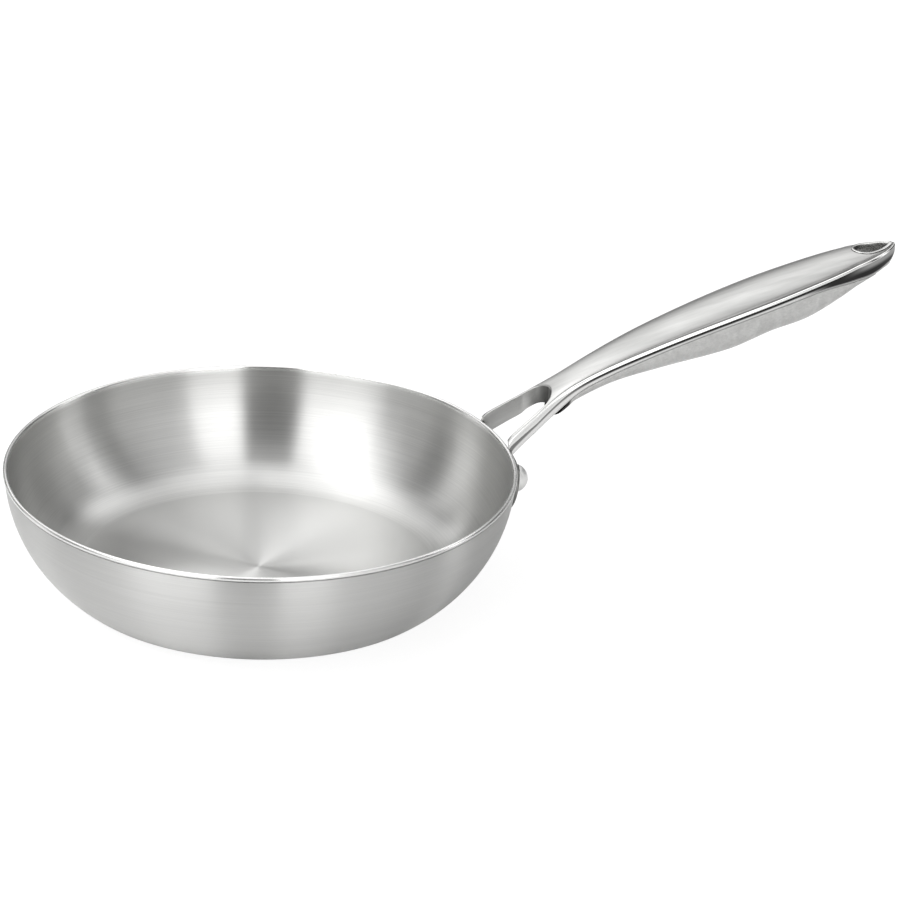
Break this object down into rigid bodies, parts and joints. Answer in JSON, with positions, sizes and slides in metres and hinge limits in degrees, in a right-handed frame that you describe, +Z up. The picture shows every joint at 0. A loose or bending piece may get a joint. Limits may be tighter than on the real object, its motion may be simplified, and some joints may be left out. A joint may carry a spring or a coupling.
{
  "type": "wok pan",
  "caption": "Shallow round-walled steel wok pan with a flat base, a rolled rim and a long forked, hollow handle ending in a hanging eye.",
  "frame": {"origin": "centre of the flat underside of the base, on the pan's axis", "axes": "+X along the handle, from the pan's axis towards the hanging eye; +Z up, out of the pan's mouth"},
  "size_m": [0.4455, 0.24, 0.1264],
  "materials": {
    "satin_steel": "circular-brushed satin inside, polished on the rolled rim",
    "outer_steel": "fine satin",
    "aluminium": "plain, enclosed",
    "flange_steel": "polished",
    "rivet_steel": "polished",
    "handle_steel": "lengthwise satin on top, polished edges",
    "underside_steel": "satin",
    "sleeve_steel": "polished"
  },
  "bodies": {
    "root": {"inner_bowl": "satin_steel", "heat_disc": "aluminium", "outer_bowl": "outer_steel", "handle_flange": "flange_steel", "rivet_near": "rivet_steel", "rivet_far": "rivet_steel", "handle_top": "handle_steel", "handle_underside": "underside_steel", "eye_sleeve": "sleeve_steel"}
  },
  "joints": []
}
